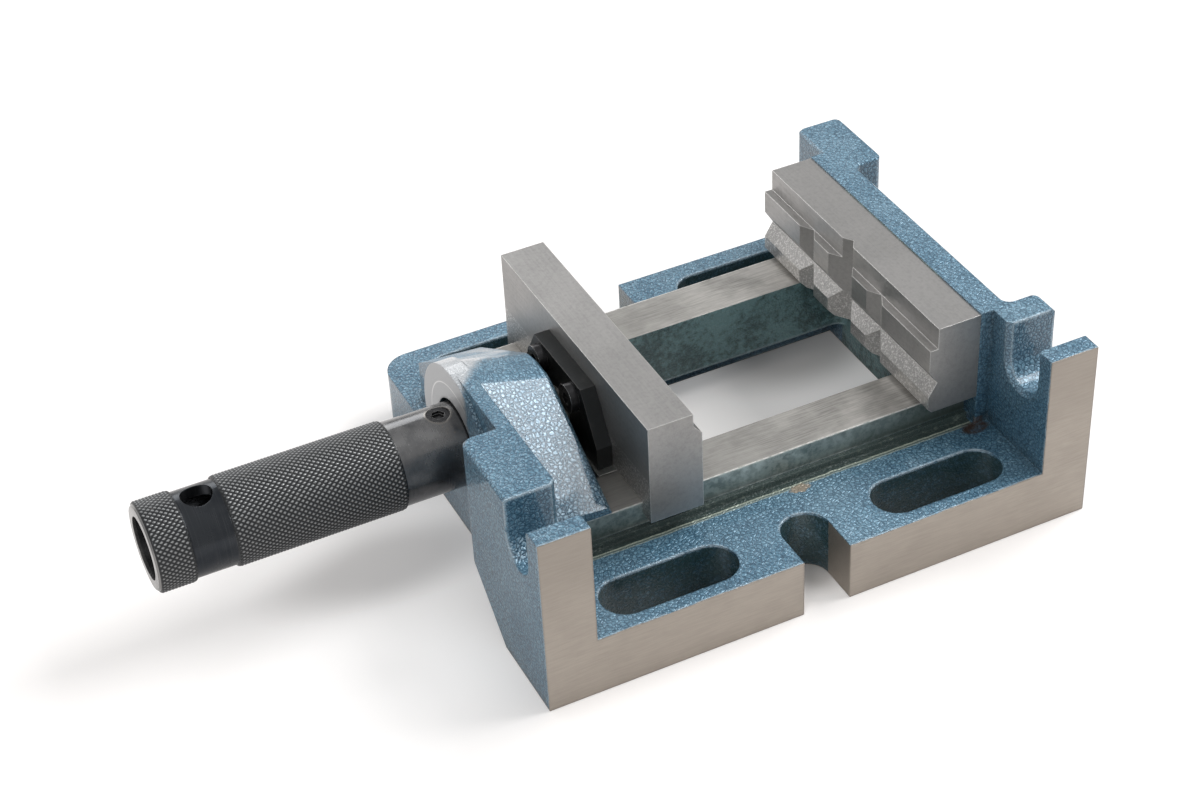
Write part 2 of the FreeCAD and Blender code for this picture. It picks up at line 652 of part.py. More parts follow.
def build_fasteners():
    y_axis, x_axis = FreeCAD.Vector(0, 1, 0), FreeCAD.Vector(1, 0, 0)
    small, gap = d.small_screw_radius, d.screw_point_gap
    made = []
    for side, way in (("near", -1.0), ("far", 1.0)):
        reach = d.rear_wall_thickness + d.jaw_bolt_grip - gap
        screw = hex_screw("fixed_jaw_bolt_" + side, d.jaw_bolt_radius, d.jaw_bolt_flats,
                          d.jaw_bolt_head, reach)
        made.append(put(screw, rear_wall_back, way * d.jaw_bolt_line, jaw_bolt_height, y_axis, 90))
        reach = d.bracket_thickness + d.bracket_screw_grip - gap
        screw = socket_screw("bracket_screw_" + side, small, d.low_head_radius, d.low_head, reach,
                             d.low_head_socket)
        made.append(put(screw, bracket_back, way * d.bracket_screw_line, d.bracket_screw_height,
                        y_axis, -90))
        reach = jaw_underside - keeper_bottom + d.jaw_screw_grip - gap
        screw = hex_screw("jaw_screw_" + side, small, d.small_head_flats, d.small_head, reach)
        made.append(put(screw, screw_row, way * d.jaw_screw_line, keeper_bottom, x_axis, 180))
        reach = d.keeper_thickness + d.keeper_screw_grip - gap
        screw = hex_screw("keeper_screw_" + side, small, d.small_head_flats, d.small_head, reach)
        made.append(put(screw, screw_row, way * d.keeper_screw_line, keeper_bottom, x_axis, 180))
    return made


def build_grub_screw():
    body = new_body("handle_grub_screw")
    top = d.neck_radius - d.grub_screw_sink
    sketch = sketch_on(body, "XY_Plane", d.nut_radius)
    circle(sketch, ZERO, ZERO, d.grub_screw_radius)
    extrude(body, "PartDesign::Pad", sketch, top - d.nut_radius)
    pocket(body, "XY_Plane", top, (top - d.nut_radius) / 2, hexagon(d.grub_screw_socket))
    body.setExpression("Placement.Base.x", grub_screw_place.text)
    body.setExpression("Placement.Base.z", d.screw_height.text)
    return body


def check_and_write(pieces):
    """Stop on any failed feature, empty shape or cut that removed nothing, then write the files."""
    doc.recompute()
    for item in doc.Objects:
        if "Invalid" in item.State or "Error" in item.State:
            raise RuntimeError(item.Name + " failed: " + str(item.State))
        if item.TypeId in ("PartDesign::Pocket", "PartDesign::SubtractiveLoft"):
            if item.Shape.Volume >= item.BaseFeature.Shape.Volume - 1e-6:
                raise RuntimeError(item.Name + " cuts nothing")
    os.makedirs("parts", exist_ok=True)
    for piece in pieces:
        shape = piece.Shape
        if shape.isNull() or not shape.isValid() or len(shape.Solids) != 1:
            raise RuntimeError(piece.Label + " is not one valid solid")
        shape.exportStep(os.path.join("parts", piece.Label + ".step"))
        print("%-24s %10.1f mm3" % (piece.Label, shape.Volume))


check_and_write([
    build_casting(), build_fixed_jaw(), build_moving_jaw(), build_guide_block(),
    build_keeper_plate(), build_spindle_bracket(), build_spindle(), build_spindle_pin(),
    build_spindle_nut(), build_thrust_washer(), build_handle(), build_grub_screw(),
] + build_fasteners())
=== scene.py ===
import math

import bpy
import numpy as np
from mathutils import Matrix, Vector


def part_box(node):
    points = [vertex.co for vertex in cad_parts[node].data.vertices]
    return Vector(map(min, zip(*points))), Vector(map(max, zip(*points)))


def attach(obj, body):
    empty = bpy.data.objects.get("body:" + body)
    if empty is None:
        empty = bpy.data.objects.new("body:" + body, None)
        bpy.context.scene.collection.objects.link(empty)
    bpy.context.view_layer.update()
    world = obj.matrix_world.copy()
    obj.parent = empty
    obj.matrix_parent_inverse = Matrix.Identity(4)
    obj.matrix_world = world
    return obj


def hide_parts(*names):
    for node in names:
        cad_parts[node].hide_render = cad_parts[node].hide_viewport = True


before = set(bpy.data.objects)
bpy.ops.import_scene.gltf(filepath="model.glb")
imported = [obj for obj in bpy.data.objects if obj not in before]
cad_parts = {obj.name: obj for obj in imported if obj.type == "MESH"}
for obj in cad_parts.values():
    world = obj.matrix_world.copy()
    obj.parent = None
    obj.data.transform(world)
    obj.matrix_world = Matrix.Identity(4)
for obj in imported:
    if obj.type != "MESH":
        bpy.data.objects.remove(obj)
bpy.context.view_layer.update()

MM = 0.001

# The camera stands in front of the vise, on its machined side, and looks down at it. Its place and
# lens make the casting's straight edges fall where they do in the photograph.

CAMERA_PLACE = Vector((-302.2, -589.4, 541.0)) * MM
CAMERA_AZIMUTH, CAMERA_TILT, CAMERA_ROLL = 24.29, 37.87, -3.196
FOCAL_PIXELS, PHOTO_WIDTH, SENSOR, CLIP_END = 2451.0, 1200.0, 36.0, 20.0

lens = bpy.data.cameras.new("camera")
lens.sensor_width = SENSOR
lens.lens = FOCAL_PIXELS / PHOTO_WIDTH * SENSOR
lens.clip_end = CLIP_END
camera = bpy.data.objects.new("camera", lens)
turn = Matrix.Rotation(math.radians(-CAMERA_AZIMUTH), 4, "Z")
turn = turn @ Matrix.Rotation(math.radians(90 - CAMERA_TILT), 4, "X")
turn = turn @ Matrix.Rotation(math.radians(CAMERA_ROLL), 4, "Z")
camera.matrix_world = Matrix.Translation(CAMERA_PLACE) @ turn
bpy.context.scene.collection.objects.link(camera)
bpy.context.scene.camera = camera
bpy.context.scene.view_settings.view_transform = "Standard"


# The backdrop is a white sweep in a white room. The camera sees both lifted to plain white, and
# the floor keeps the vise's soft shadow.

class Shade:
    """One output of a node, with arithmetic that adds Math nodes to the same tree."""

    def __init__(self, wiring, socket):
        self.wiring = wiring
        self.socket = socket

    def _math(self, operation, first, second):
        return self.wiring.node("ShaderNodeMath", {"operation": operation}, {0: first, 1: second})

    def __add__(self, other):
        return self._math("ADD", self, other)

    def __sub__(self, other):
        return self._math("SUBTRACT", self, other)

    def __rsub__(self, other):
        return self._math("SUBTRACT", other, self)

    def __mul__(self, other):
        return self._math("MULTIPLY", self, other)

    def __pow__(self, other):
        return self._math("POWER", self, other)

    def __abs__(self):
        return self._math("ABSOLUTE", self, 0.0)

    def __gt__(self, other):
        return self._math("GREATER_THAN", self, other)

    def __lt__(self, other):
        return self._math("LESS_THAN", self, other)

    def __or__(self, other):
        return self._math("MAXIMUM", self, other)

    __radd__ = __add__
    __rmul__ = __mul__

    def rise(self, low, high):
        """0 below low, 1 above high and a smooth step between them."""
        return self.wiring.node(
            "ShaderNodeMapRange", {"interpolation_type": "SMOOTHSTEP"},
            {"Value": self, "From Min": low, "From Max": high})


class Wiring:
    """Adds nodes to a tree."""

    def __init__(self, tree):
        self.tree = tree

    def node(self, kind, settings, inputs, output=0):
        """Add a node: its settings, then the values or links of its sockets."""
        made = self.tree.nodes.new(kind)
        for name, value in settings.items():
            setattr(made, name, value)
        for name, value in inputs.items():
            if isinstance(value, Shade):
                self.tree.links.new(value.socket, made.inputs[name])
            else:
                made.inputs[name].default_value = value
        return Shade(self, made.outputs[output])

    def seen_by_camera(self):
        """1 for rays from the camera, 0 for others."""
        return self.node("ShaderNodeLightPath", {}, {}, "Is Camera Ray")


class Finish(Wiring):
    """A material, wired up from short expressions."""

    def __init__(self, name, **fixed):
        self.material = bpy.data.materials.new(name)
        self.material.use_nodes = True
        super().__init__(self.material.node_tree)
        self.shader = self.tree.nodes["Principled BSDF"]
        for socket, value in fixed.items():
            self.shader.inputs[socket.replace("_", " ")].default_value = value
        self.place = self.node("ShaderNodeTexCoord", {}, {}, "Object")
        self.facing = self.node("ShaderNodeTexCoord", {}, {}, "Normal")

    def axes(self, vector):
        """The X, Y and Z of a vector as three values."""
        first = self.node("ShaderNodeSeparateXYZ", {}, {0: vector})
        return [Shade(self, socket) for socket in first.socket.node.outputs]

    def stretch(self, x, y, z):
        """The place, squeezed along each axis, for a pattern that has a direction."""
        return self.node("ShaderNodeMapping", {}, {"Vector": self.place, "Scale": (x, y, z)})

    def noise(self, scale, detail, place=None, roughness=0.5):
        """Noise from 0 to 1 whose lumps are 1/scale metres apart."""
        inputs = {"Vector": place or self.place, "Scale": scale, "Detail": detail,
                  "Roughness": roughness}
        return self.node("ShaderNodeTexNoise", {}, inputs, "Fac")

    def blend(self, factor, first, second):
        """A colour between two colours."""
        inputs = {0: factor}
        for slot, colour in ((6, first), (7, second)):
            inputs[slot] = colour if isinstance(colour, Shade) else (*colour, 1.0)
        return self.node("ShaderNodeMix", {"data_type": "RGBA"}, inputs, 2)

    def feed(self, **links):
        """Link values and colours to the shader's sockets."""
        for socket, value in links.items():
            self.tree.links.new(value.socket, self.shader.inputs[socket.replace("_", " ")])

    def soft_edge(self, radius):
        """The normal of a surface whose edges are rounded."""
        return self.node("ShaderNodeBevel", {"samples": 4}, {"Radius": radius})

    def relief(self, height, depth, rounding):
        """Turn a height from 0 to 1 into bumps, depth metres high, on a surface whose edges are
        rounded by a radius."""
        inputs = {"Height": height, "Distance": depth, "Strength": 1.0,
                  "Normal": self.soft_edge(rounding)}
        self.feed(Normal=self.node("ShaderNodeBump", {}, inputs))

    def edge_mask(self, radius, turned=0.80, flush=0.985):
        """1 on the edges, where the rounded normal leans away, and 0 on flat faces."""
        smooth = self.soft_edge(radius)
        flat = self.node("ShaderNodeNewGeometry", {}, {}, "Normal")
        along = self.node("ShaderNodeVectorMath", {"operation": "DOT_PRODUCT"},
                          {0: smooth, 1: flat}, "Value")
        return 1 - along.rise(turned, flush)

    def distance(self, first, second):
        """The length of a vector that is given by two lengths at right angles."""
        return (first * first + second * second) ** 0.5


FLOOR_REACH, FLOOR_DROP = 6.0, 0.2 * MM
FLOOR_WHITE, CAMERA_LIFT = (0.80, 0.778, 0.765, 1.0), 0.22
FAR_FROM, FAR_TO, FAR_LIFT = 0.5, 1.4, 3.0
ROOM_LIGHT, ROOM_SEEN = 0.55, 1.0

# Painted shadow and painted light on the floor, which only the camera sees: patches that change its
# lift, with their middle, their reach along X and Y, and the change. The painted shadows lie under
# the handle, in the window and in the edge slot, and the painted light lies beside the handle.
# A patch is full within TONE_FULL of its reach.
SHADOW_TONES = (((-0.118, 0.000), (0.055, 0.024), -0.95),
                ((-0.142, -0.056), (0.062, 0.052), 0.75),
                ((0.060, 0.036), (0.045, 0.030), -1.00),
                ((0.005, -0.072), (0.012, 0.014), -1.00))
TONE_FULL = 0.3

bpy.ops.mesh.primitive_plane_add(size=2 * FLOOR_REACH, location=(0, 0, -FLOOR_DROP))
floor = bpy.context.object
floor.name = "floor"
sweep = Finish("white_sweep", Base_Color=FLOOR_WHITE, Roughness=0.9, Specular_IOR_Level=0.1,
               Emission_Strength=CAMERA_LIFT)
sweep_x, sweep_y = sweep.axes(sweep.place)[:2]
lift = sweep.distance(sweep_x, sweep_y).rise(FAR_FROM, FAR_TO) * FAR_LIFT + 1
for (middle_x, middle_y), (reach_x, reach_y), change in SHADOW_TONES:
    away = sweep.distance((sweep_x - middle_x) * (1 / reach_x),
                          (sweep_y - middle_y) * (1 / reach_y))
    lift = lift + (1 - away.rise(TONE_FULL, 1.0)) * change
sweep.feed(Emission_Color=sweep.seen_by_camera() * lift)
floor.data.materials.append(sweep.material)

world = bpy.data.worlds.new("white_room")
bpy.context.scene.world = world
world.use_nodes = True
background = world.node_tree.nodes["Background"]
background.inputs["Color"].default_value = (1.0, 1.0, 1.0, 1.0)
room = Wiring(world.node_tree)
strength = room.seen_by_camera() * (ROOM_SEEN - ROOM_LIGHT) + ROOM_LIGHT
room.tree.links.new(strength.socket, background.inputs["Strength"])


# The lamps are large and soft. The key stands high on the right, where the casting's sloping
# flank mirrors it. The others fill from behind and from the front left. Each has a name, a place,
# a size and its watts.

LAMPS = (("key", (0.92, -0.06, 1.05), (0.8, 0.8), 15.0),
         ("back", (-0.30, 1.30, 0.70), (1.6, 0.6), 8.0),
         ("front_fill", (-0.95, -0.95, 0.90), (0.45, 0.45), 5.0))


def softbox(name, place, size, watts, aim=(0, 0, 0.03)):
    """A rectangular soft lamp at a place, turned to its aim."""
    lamp = bpy.data.lights.new(name, "AREA")
    lamp.shape = "RECTANGLE"
    lamp.size, lamp.size_y = size
    lamp.energy = watts
    holder = bpy.data.objects.new(name, lamp)
    way = Vector(aim) - Vector(place)
    turned = way.to_track_quat("-Z", "Y").to_matrix().to_4x4()
    holder.matrix_world = Matrix.Translation(place) @ turned
    bpy.context.scene.collection.objects.link(holder)


for lamp in LAMPS:
    softbox(*lamp)


# The base is one grey iron casting, sprayed with a blue hammer-finish enamel that pulls into small
# pale cells with dark veins. Its underside, near side, rails and hub face are then milled bare, and
# the enamel chips along the milled edges.

CELL, CELL_WANDER, WANDER_SCALE = 1.45 * MM, 1.1 * MM, 0.35
HUB_FACE, SCREW_HEIGHT, TURNING_LINES = -88.0 * MM, 40.2 * MM, 2600
ALONG_GRAIN, ACROSS_GRAIN, CREVICE_REACH = (120, 2500, 2500), (60, 900, 5200), 7.0 * MM

# Places, directions and patterns. Each mask further down is 1 where its name says, and the two
# numbers of rise() on a pattern say where its patches begin and where they are full.
paint = Finish("hammered_paint", Coat_Roughness=0.07, Specular_IOR_Level=0.5)
px, py, pz = paint.axes(paint.place)
nx, ny, nz = paint.axes(paint.facing)
wander = paint.node("ShaderNodeTexNoise", {},
                    {"Vector": paint.place, "Scale": WANDER_SCALE / CELL}, "Color")
warped = paint.node("ShaderNodeVectorMath", {"operation": "MULTIPLY_ADD"},
                    {0: wander, 1: (CELL_WANDER, CELL_WANDER, CELL_WANDER), 2: paint.place})
cells = paint.node("ShaderNodeTexVoronoi", {"feature": "DISTANCE_TO_EDGE"},
                   {"Vector": warped, "Scale": 1.0 / CELL}, "Distance")
speckle = paint.noise(1300, 3.0, roughness=0.65)
patch = paint.noise(42, 3.0)
drift = paint.noise(260, 2.0)
stain = paint.noise(55, 4.0, roughness=0.6)
fine_stain = paint.noise(420, 4.0, roughness=0.7)
from_axis = paint.distance(py, pz - SCREW_HEIGHT)
turned_lines = paint.node("ShaderNodeCombineXYZ", {}, {0: from_axis * TURNING_LINES})
turning = paint.noise(1.0, 2.0, turned_lines)
grain = paint.noise(1.0, 3.0, paint.stretch(*ALONG_GRAIN), 0.6)
across = paint.noise(1.0, 2.0, paint.stretch(*ACROSS_GRAIN), 0.6)
crevice = paint.node("ShaderNodeAmbientOcclusion", {"samples": 4},
                     {"Distance": CREVICE_REACH}, "AO")

# Where the casting is bare. Only the far half of the hub's turned face is bare, with a pale band
# behind it on the hub's top: painted glare where the lamps shine on the hub. The near half is
# enamelled.
ON_FACE, STRAIGHT_ON = 0.12 * MM, 0.9
BARE_NEAR_SIDE, CHIP_WIDTH, REAR_WALL = -88.5 * MM, 0.35 * MM, 76.0 * MM
RAIL_TOP, RAIL_SIDE, RAIL_FOOT_TOP, FLANGE_TOP = 33.5 * MM, 49.2 * MM, 24.5 * MM, 22.0 * MM
GLARE_FROM, GLARE_FULL, GLARE_ABOVE = -7 * MM, -2 * MM, SCREW_HEIGHT - 6 * MM
EDGE_SLOT_HALF, EDGE_SLOT_BARE, EDGE_SLOT_TOP = 8.7 * MM, -73.0 * MM, FLANGE_TOP - 0.3 * MM
FINE_RAGGED, WIDE_RAGGED, SLOT_RAGGED = 4 * MM, 5 * MM, 3 * MM

ragged = drift * FINE_RAGGED + patch * WIDE_RAGGED
bare_side = py < BARE_NEAR_SIDE + ON_FACE
chipped = (py < BARE_NEAR_SIDE + CHIP_WIDTH) * stain.rise(0.5, 0.55)
rail_top = (abs(pz - RAIL_TOP) < ON_FACE) * (nz > STRAIGHT_ON)
rail_side = (abs(abs(py) - RAIL_SIDE) < ON_FACE) * (pz > RAIL_FOOT_TOP + ON_FACE)
rail_side = rail_side * (pz < RAIL_TOP + ON_FACE) * (px < REAR_WALL)
glare_side = (py + ragged).rise(GLARE_FROM, GLARE_FULL) * (pz > GLARE_ABOVE)
hub_ring = (abs(px - HUB_FACE) < ON_FACE) * (nx < -STRAIGHT_ON) * glare_side
edge_slot = (abs(px) < EDGE_SLOT_HALF) * (py + stain * SLOT_RAGGED < EDGE_SLOT_BARE)
edge_slot = edge_slot * (pz < EDGE_SLOT_TOP)
underside = pz < ON_FACE
bare = bare_side | chipped | rail_top | hub_ring | underside | rail_side | edge_slot

# The enamel: cells and veins, which the sloping flank shows best, with a painted reflection of the
# key lamp on that flank, and painted glare on the hub.
VEIN_WIDTH, FLANK_END = 0.16, -45.0 * MM
PAINT_VEIN, PAINT_DEEP = (0.012, 0.045, 0.080), (0.054, 0.134, 0.208)
PAINT_MID, PAINT_PALE = (0.134, 0.285, 0.400), (0.335, 0.505, 0.610)
PAINT_HIGHLIGHT, HUB_GLARE, HUB_REACH = (0.560, 0.680, 0.760), (0.500, 0.515, 0.530), 30.0 * MM
GLARE_BAND, GLARE_FADE, GLARE_SLANT = -78.5 * MM, 5 * MM, 0.9

vein = 1 - cells.rise(0.0, VEIN_WIDTH)
lightness = patch.rise(0.35, 0.75) * 0.25 + speckle.rise(0.53, 0.7) * 0.55
glaring_flank = nz.rise(0.25, 0.40) * (1 - nz.rise(0.88, 0.95)) * (ny < -0.1) * (px < FLANK_END)
behind = px - py * GLARE_SLANT + ragged
# Painted glare: a pale band on the top of the hub's far half.
hub_glare = (1 - behind.rise(GLARE_BAND, GLARE_BAND + GLARE_FADE)) * glare_side
hub_glare = hub_glare * (from_axis < HUB_REACH) * (nz > 0.05)
enamel = paint.blend(speckle.rise(0.36, 0.64), PAINT_DEEP, PAINT_MID)
enamel = paint.blend(lightness, enamel, PAINT_PALE)
# Painted reflection of the key lamp: pale cells on the sloping flank.
enamel = paint.blend(glaring_flank * speckle.rise(0.40, 0.60) * 0.40, enamel, PAINT_HIGHLIGHT)
enamel = paint.blend(vein * (0.84 + glaring_flank * 0.12 - (nz > STRAIGHT_ON) * 0.18), enamel, PAINT_VEIN)
enamel = paint.blend(hub_glare * 0.9, enamel, HUB_GLARE)

# Dirt, wear and painted light on the enamel: painted shade with some grime in the corners, oil in
# the window, painted shade in the slots and on upright walls, painted highlights on edges that face
# the near side, lines of old oil with painted highlights between them along the rails' feet, and
# two spots.
CREVICE_SHADE_AND_GRIME, SLOT_SHADE = (0.008, 0.018, 0.018), (0.024, 0.058, 0.062)
INNER_PALE, INNER_DARK = (0.150, 0.255, 0.255), (0.040, 0.076, 0.070)
WINDOW_START, WINDOW_END, WINDOW_HALF = -60.0 * MM, 82.0 * MM, 31.2 * MM
UPRIGHT_WITHIN = 98.0 * MM
SLOTS_FROM, SLOTS_TO, SLOTS_HALF, SLOTS_TOP = 50 * MM, 76.7 * MM, 74.5 * MM, FLANGE_TOP - 0.9 * MM
LIT_EDGE, EDGES_LIT_BEYOND = 2.0 * MM, 62.0 * MM
FOOT_OIL, FOOT_HIGHLIGHT = (0.045, 0.068, 0.064), (0.430, 0.480, 0.400)
FOOT_BANDS = ((6.1 * MM, FOOT_HIGHLIGHT, 0.6), (5.6 * MM, FOOT_OIL, 0.7),
              (5.0 * MM, FOOT_HIGHLIGHT, 0.9), (4.4 * MM, FOOT_OIL, 1.0))
FOOT_START, FOOT_WOBBLE, FOOT_SOFT = -80 * MM, 0.8 * MM, 0.25 * MM
FLANGE_FROM, FLANGE_TO = FLANGE_TOP - 0.2 * MM, RAIL_FOOT_TOP + ON_FACE
GLUE_SPOT, GLUE_RADIUS, GLUE_TAN = (8.6 * MM, -55.8 * MM), 2.4 * MM, (0.330, 0.270, 0.200)
RUST_SPOT, RUST_RADIUS, RUST_BROWN = (75.6 * MM, -57.0 * MM), 3.6 * MM, (0.060, 0.036, 0.026)
SPOT_STRETCH, SPOT_RAGGED = 0.6, 3 * MM


def spot(middle, radius):
    """A ragged stain at the foot of the near rail, 1 in its middle."""
    reach = paint.distance((px - middle[0]) * SPOT_STRETCH, py - middle[1])
    reach = reach + (fine_stain - 0.5) * SPOT_RAGGED
    return (1 - reach.rise(radius * 0.7, radius)) * (pz > FLANGE_FROM) * (pz < FLANGE_TO)


# Painted shade: darker in corners and crevices, found by occlusion, with some grime speckled in.
crevice_shade = (1 - crevice.rise(0.35, 0.90)) * (0.9 - nz.rise(0.5, 0.95) * 0.5)
inner_side = (abs(py) < WINDOW_HALF) * (abs(nz) < 0.5) * (px > WINDOW_START) * (px < WINDOW_END)
oiled = (stain * 0.5 + fine_stain * 0.5).rise(0.41, 0.58)
# Painted shade: upright walls are darker.
upright_shade = (abs(nz) < 0.3) * (abs(px) < UPRIGHT_WITHIN) * (1 - inner_side)
# Painted shade, speckled, on the walls inside the bolt slots.
in_slot = (abs(py) > SLOTS_FROM) * (py < SLOTS_TO) * (abs(px) < SLOTS_HALF)
in_slot = in_slot * (pz < SLOTS_TOP) * (abs(nz) < 0.5)
# Painted highlight on rounded edges that face the near side.
faces_near = (paint.axes(paint.soft_edge(LIT_EDGE))[1] * -1).rise(0.15, 0.5)
edge_highlight = paint.edge_mask(LIT_EDGE) * faces_near * crevice.rise(0.35, 0.75)
edge_highlight = edge_highlight * ((pz < RAIL_FOOT_TOP) | (abs(py) > EDGES_LIT_BEYOND))
for cover, colour in (
        (crevice_shade * (0.5 + 0.5 * fine_stain.rise(0.35, 0.6)), CREVICE_SHADE_AND_GRIME),
        (inner_side * 0.85, paint.blend(oiled, INNER_PALE, INNER_DARK)),
        (upright_shade * 0.32, PAINT_VEIN),
        (in_slot * (0.55 + 0.35 * fine_stain.rise(0.40, 0.55)), SLOT_SHADE),
        (edge_highlight * drift.rise(0.28, 0.50) * 0.9, PAINT_HIGHLIGHT)):
    enamel = paint.blend(cover, enamel, colour)
from_rail = abs(py) - RAIL_SIDE
foot = (from_rail > 0) * (pz > FLANGE_FROM) * (pz < FLANGE_TO)
foot = foot * (px < REAR_WALL) * (px > FOOT_START) * (fine_stain.rise(0.25, 0.45) * 0.4 + 0.6)
wandering = from_rail + drift * FOOT_WOBBLE
# Bands along the rails' feet: old oil, and pale lines between them that are painted highlights.
for reach, colour, cover in FOOT_BANDS:
    within = 1 - wandering.rise(reach, reach + FOOT_SOFT)
    enamel = paint.blend(foot * within * cover, enamel, colour)
enamel = paint.blend(spot(GLUE_SPOT, GLUE_RADIUS) * 0.9, enamel, GLUE_TAN)
rusted = spot(RUST_SPOT, RUST_RADIUS) * (0.55 + 0.45 * fine_stain.rise(0.4, 0.6))
enamel = paint.blend(rusted, enamel, RUST_BROWN)

# The bare iron: the milled near side, darker up the posts, the rails' scratched tops with painted
# light towards the rear wall, their dull and oily sides with painted shade low down and at both
# ends and a painted glint on the top edge, and the hub's turned ring with a painted highlight on a
# circle.
MILLED_LIGHT, MILLED_DARK = (0.450, 0.405, 0.357), (0.330, 0.295, 0.260)
POST_FROM, POST_FULL, LIT_REAR_FROM, LIT_REAR_FULL = 30 * MM, 60 * MM, -30 * MM, 55 * MM
SHADED_LOW, SHADED_HIGH, FRONT_FULL, FRONT_TO = 25 * MM, 33 * MM, -75 * MM, -45 * MM
REAR_FROM, REAR_FULL = 5 * MM, 72 * MM
RAIL_LIGHT, RAIL_LIT_REAR = (0.390, 0.380, 0.360), (0.620, 0.600, 0.570)
RAIL_DARK, DULL_SHADED = (0.250, 0.244, 0.230), (0.060, 0.090, 0.080)
DULL_LIGHT, DULL_DARK = (0.620, 0.680, 0.650), (0.200, 0.245, 0.235)
RAIL_GLINT, GLINT_WIDTH, GLINT_HEIGHT = (0.80, 0.79, 0.76), 0.35 * MM, 0.30 * MM
RING_RADIUS, RING_WIDTH = 21.0 * MM, 0.4 * MM
RING_HIGHLIGHT, RING_STEEL = (0.75, 0.75, 0.75), (0.46, 0.47, 0.48)

# Painted shade on the rails' sides: darker low down, towards the rear wall and at the front end.
shaded = (1 - pz.rise(SHADED_LOW, SHADED_HIGH)) * 0.35 + px.rise(REAR_FROM, REAR_FULL) * 0.55
shaded = shaded + (1 - px.rise(FRONT_FULL, FRONT_TO)) * 0.45
dulled = stain.rise(0.35, 0.65) * 0.6 + fine_stain.rise(0.4, 0.6) * 0.4
oil_and_shade = paint.blend(shaded, paint.blend(dulled, DULL_LIGHT, DULL_DARK), DULL_SHADED)
# Painted light: the rails' tops are lighter towards the rear wall.
rail_top_lit = paint.blend(px.rise(LIT_REAR_FROM, LIT_REAR_FULL), RAIL_LIGHT, RAIL_LIT_REAR)
scratched = grain.rise(0.3, 0.7) * 0.45 + stain.rise(0.35, 0.65) * 0.45
# Painted glint along the rails' top edges.
glint = (abs(abs(py) - RAIL_SIDE) < GLINT_WIDTH) * (pz > RAIL_TOP - GLINT_HEIGHT) * (px < REAR_WALL)
# Painted highlight: a bright circle on the hub's turned face.
ring_highlight = abs(from_axis - RING_RADIUS).rise(0.0, RING_WIDTH)
steel = paint.blend(grain.rise(0.3, 0.7) * 0.35 + stain.rise(0.4, 0.7) * 0.25,
                    MILLED_LIGHT, MILLED_DARK)
for cover, colour in (
        (pz.rise(POST_FROM, POST_FULL) * 0.55, MILLED_DARK),
        (rail_top, paint.blend(scratched, rail_top_lit, RAIL_DARK)),
        (rail_side, oil_and_shade),
        (glint * fine_stain.rise(0.35, 0.55) * 0.85, RAIL_GLINT),
        (hub_ring, paint.blend(ring_highlight, RING_HIGHLIGHT, RING_STEEL))):
    steel = paint.blend(cover, steel, colour)

PAINT_DEPTH, CAST_ROUND = 0.22 * MM, 1.2 * MM

paint.feed(
    Base_Color=paint.blend(bare, enamel, steel),
    Metallic=bare * 0.85 + (1 - bare) * 0.20,
    Roughness=bare * (0.36 + grain * 0.16) + (1 - bare) * (0.22 + speckle * 0.18),
    Coat_Weight=(1 - bare) * 0.60)
painted_relief = cells.rise(0.0, 0.30) * 0.60 + speckle * 0.20 + drift * 0.45
bare_relief = across * 0.06 + hub_ring * turning * 0.15
paint.relief((1 - bare) * painted_relief + bare * bare_relief, PAINT_DEPTH, CAST_ROUND)


def dress(node, finish):
    """Give a CAD node a finish."""
    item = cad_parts[node]
    item.data.materials.clear()
    item.data.materials.append(finish.material)


dress("base_casting", paint)


# The jaws are steel bars, ground along their length, with edges that handling has made bright and
# that carry painted highlights.
# Two bolts hold the fixed jaw to the rear wall, and the moving jaw slides on the rails.

JAW_LIGHT, JAW_DARK, BRIGHT_WEAR_AND_GLINT = (0.430, 0.420, 0.412), (0.275, 0.272, 0.266), (0.86, 0.85, 0.83)
JAW_LINES = (1800, 60, 1800)
SAWN_BELOW, SAWN_FACING = 45.2 * MM, -0.3
EDGE_SHINE, EDGE_ROUND, GRIND_DEPTH = 0.45 * MM, 0.25 * MM, 0.040 * MM


def ground_steel(name, light, dark, lines):
    """Ground steel with lines along one axis, given as the place's squeeze along each axis, and
    with bright edges, worn and with painted highlights. The lower part of a face that looks towards
    -X is left as it came from the saw, with painted glints."""
    steel = Finish(name, Metallic=0.90, Specular_IOR_Level=0.5)
    scratch = steel.noise(1.0, 3.0, steel.stretch(*lines), 0.65)
    cloud = steel.noise(38, 3.0)
    mottle = steel.noise(700, 3.0, roughness=0.7)
    glitter = steel.noise(1500, 2.0, roughness=0.7)
    streak = cloud.rise(0.3, 0.7) * 0.35 + scratch.rise(0.35, 0.65) * 0.17
    streak = streak + mottle.rise(0.4, 0.7) * 0.30
    tone = steel.blend(streak, light, dark)
    tone = steel.blend(steel.edge_mask(EDGE_SHINE) * 0.90, tone, BRIGHT_WEAR_AND_GLINT)
    height = steel.axes(steel.place)[2]
    sawn_and_glinting = (steel.axes(steel.facing)[0] < SAWN_FACING) * (height < SAWN_BELOW)
    # Painted glints on the lower part of faces that look towards -X.
    tone = steel.blend(sawn_and_glinting * glitter.rise(0.50, 0.62) * 0.55, tone, BRIGHT_WEAR_AND_GLINT)
    steel.feed(Base_Color=tone, Roughness=0.30 + scratch * 0.14 + cloud * 0.08)
    steel.relief(scratch * 0.5 + mottle * (0.3 + 1.2 * sawn_and_glinting), GRIND_DEPTH, EDGE_ROUND)
    return steel


jaw_steel = ground_steel("ground_jaw_steel", JAW_LIGHT, JAW_DARK, JAW_LINES)
for node in ("fixed_jaw", "moving_jaw"):
    dress(node, jaw_steel)


# The guide block and keeper plate are milled iron, dull with oil. They are screwed together under
# the moving jaw, slide between the rails and below them, and hold the jaw down.

